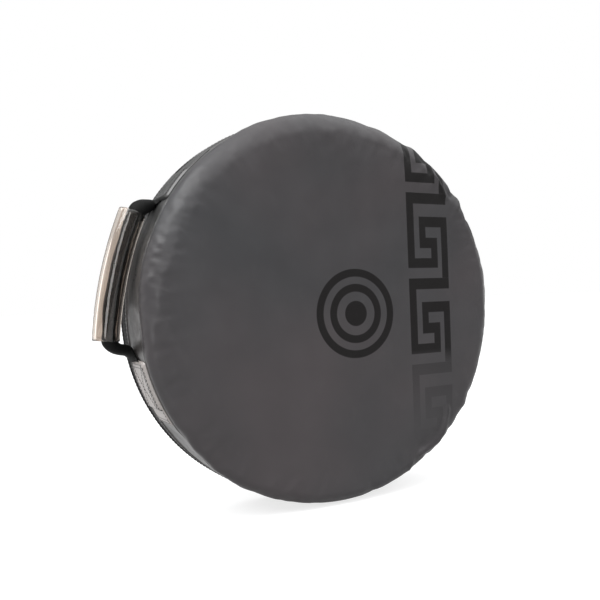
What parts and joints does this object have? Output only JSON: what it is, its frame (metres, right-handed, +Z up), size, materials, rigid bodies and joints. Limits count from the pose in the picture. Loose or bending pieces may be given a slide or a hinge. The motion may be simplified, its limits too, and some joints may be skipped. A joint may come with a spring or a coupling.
{
  "type": "round punch shield",
  "caption": "Round foam punch shield in a vinyl cover, with a sleeved webbing handle on the side wall and a hand grip, forearm strap and zip behind.",
  "frame": {"origin": "centre of the strike face", "axes": "+Y from the strike face into the pad, +X to the right when facing the strike face, +Z up with the printed band upright"},
  "size_m": [0.4377, 0.1659, 0.402],
  "materials": {
    "face_vinyl": "satin",
    "side_vinyl": "satin",
    "back_vinyl": "satin",
    "firm_foam": "matte",
    "soft_foam": "matte",
    "webbing": "matte",
    "pad_fabric": "matte",
    "hook_and_loop": "matte",
    "clear_sleeve": "gloss",
    "zip_plastic": "satin",
    "zip_metal": "satin",
    "ring_steel": "gloss"
  },
  "bodies": {
    "pad": {"front_cover": "face_vinyl", "side_gusset": "side_vinyl", "gusset_lap_seam": "side_vinyl", "rear_strip": "back_vinyl", "back_panel": "back_vinyl", "back_binding": "webbing", "strike_foam": "firm_foam", "core_foam_front": "soft_foam", "core_foam_rear": "soft_foam", "backing_foam": "firm_foam", "zip_tape_front": "webbing", "zip_tape_rear": "webbing", "zip_coil": "zip_plastic", "zip_end_stops": "zip_metal", "side_webbing_end_upper": "webbing", "side_webbing_end_lower": "webbing", "side_webbing_leg_upper": "webbing", "side_webbing_leg_lower": "webbing", "grip_webbing_end_upper": "webbing", "grip_webbing_end_lower": "webbing", "grip_webbing_leg_upper": "webbing", "grip_webbing_leg_lower": "webbing", "side_patch_upper": "side_vinyl", "side_patch_lower": "side_vinyl", "grip_patch_upper": "back_vinyl", "grip_patch_lower": "back_vinyl", "arm_patch_upper": "back_vinyl", "arm_patch_lower": "back_vinyl", "arm_webbing_end": "webbing", "arm_webbing_leg_upper": "webbing", "arm_webbing_leg_lower": "webbing", "ring_keeper": "webbing", "arm_ring": "ring_steel"},
    "side_handle": {"side_sleeve": "clear_sleeve", "side_webbing_roll": "webbing"},
    "rear_grip": {"grip_sleeve": "clear_sleeve", "grip_webbing_roll": "webbing"},
    "arm_strap": {"arm_webbing": "webbing", "arm_pad": "pad_fabric", "loop_tape": "hook_and_loop"},
    "arm_tail": {"arm_tail": "webbing", "hook_tape": "hook_and_loop"},
    "zip_slider": {"zip_slider": "zip_metal"},
    "zip_pull": {"zip_pull": "zip_metal"}
  },
  "joints": [
    {"name": "side_handle_swing", "type": "hinge", "parent": "pad", "child": "side_handle", "pos_m": [-0.19711, 0.04, -0.03831], "axis": [0.1736, 0, 0.9848], "range_deg": [-28, 28], "deforming": ["side_webbing_leg_upper", "side_webbing_leg_lower"]},
    {"name": "rear_grip_swing", "type": "hinge", "parent": "pad", "child": "rear_grip", "pos_m": [-0.07, 0.086, 0], "axis": [0, 0, 1], "range_deg": [-70, 70], "deforming": ["grip_webbing_leg_upper", "grip_webbing_leg_lower"]},
    {"name": "arm_strap_swing", "type": "hinge", "parent": "pad", "child": "arm_strap", "pos_m": [0.075, 0.088, 0], "axis": [0, 0, 1], "range_deg": [-45, 45], "deforming": ["arm_webbing_leg_upper", "arm_webbing_leg_lower"]},
    {"name": "arm_tail_peel", "type": "hinge", "parent": "arm_strap", "child": "arm_tail", "pos_m": [0.075, 0.13407, -0.07112], "axis": [-1, 0, 0], "range_deg": [0, 110]},
    {"name": "zip_slide", "type": "hinge", "parent": "pad", "child": "zip_slider", "pos_m": [0, 0.074, 0], "axis": [0, -1, 0], "range_deg": [0, 183]},
    {"name": "zip_pull_flip", "type": "hinge", "parent": "zip_slider", "child": "zip_pull", "pos_m": [0.09143, 0.074, 0.18259], "axis": [0, -1, 0], "range_deg": [0, 180]}
  ]
}
